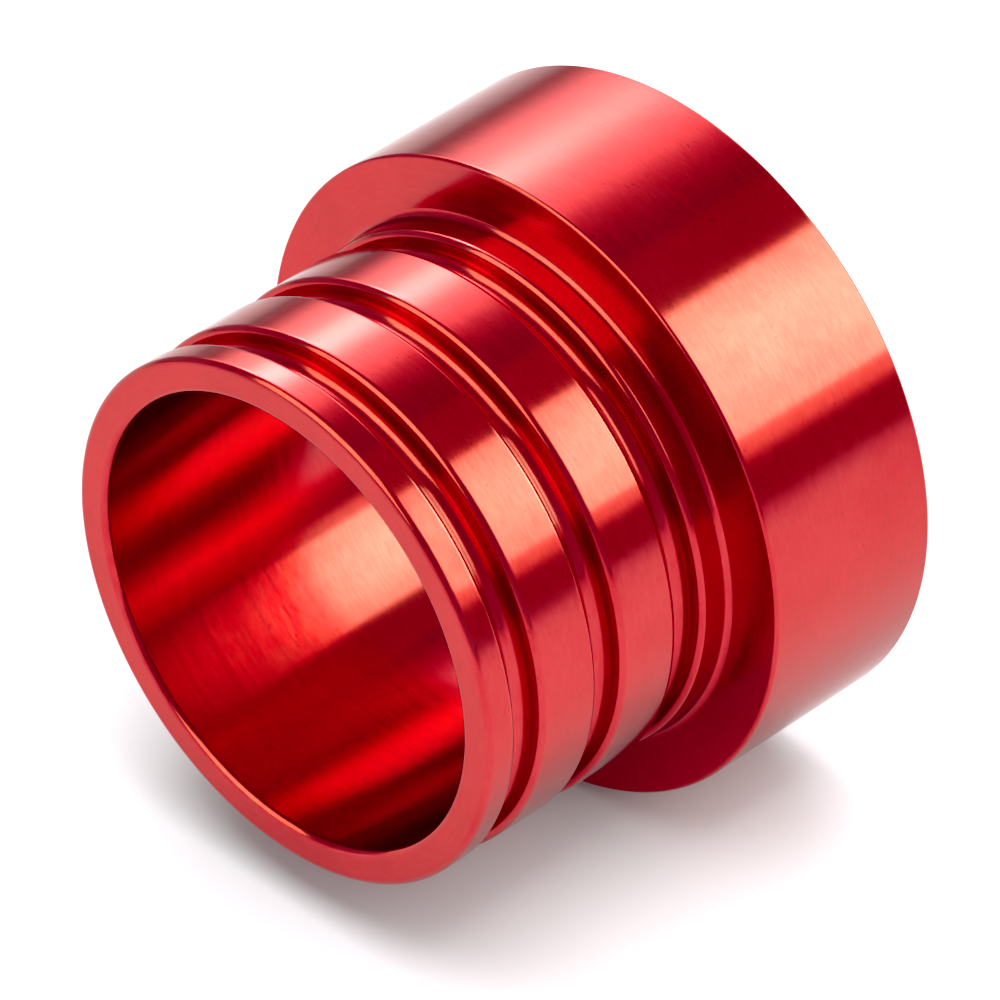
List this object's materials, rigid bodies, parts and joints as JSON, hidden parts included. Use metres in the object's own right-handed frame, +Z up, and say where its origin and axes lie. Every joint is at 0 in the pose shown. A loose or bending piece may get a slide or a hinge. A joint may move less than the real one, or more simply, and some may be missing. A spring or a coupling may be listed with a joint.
{
  "type": "shaft collar",
  "caption": "Turned shaft collar: thick head, thinner sleeve with three ring grooves, plain through bore, and a radial socket set screw pressing a soft pad onto the shaft.",
  "frame": {"origin": "on the bore's axis, in the plane of the shoulder where the sleeve meets the head", "axes": "+Y along the bore from the sleeve's free end to the back of the head, +Z up with the collar lying on its side"},
  "size_m": [0.0426, 0.0332, 0.0426],
  "materials": {
    "anodised_red": "bright red anodised over a fine turned surface",
    "black_steel": "black oxide",
    "pad_brass": "plain turned brass"
  },
  "bodies": {
    "collar": {"collar_body": "anodised_red"},
    "pad": {"brass_pad": "pad_brass"},
    "screw": {"set_screw": "black_steel"}
  },
  "joints": [
    {"name": "screw_travel", "type": "slide", "parent": "collar", "child": "pad", "axis": [-0.7071, 0, -0.7071], "range_m": [-0.0002, 0.0016]},
    {"name": "screw_turn", "type": "hinge", "parent": "pad", "child": "screw", "pos_m": [-0.01181, 0.0066, -0.01181], "axis": [-0.7071, 0, -0.7071], "range_deg": [-90, 720]}
  ],
  "couplings": [
    {"joint": "screw_turn", "follows": "screw_travel", "rad_per_m": 7854}
  ]
}
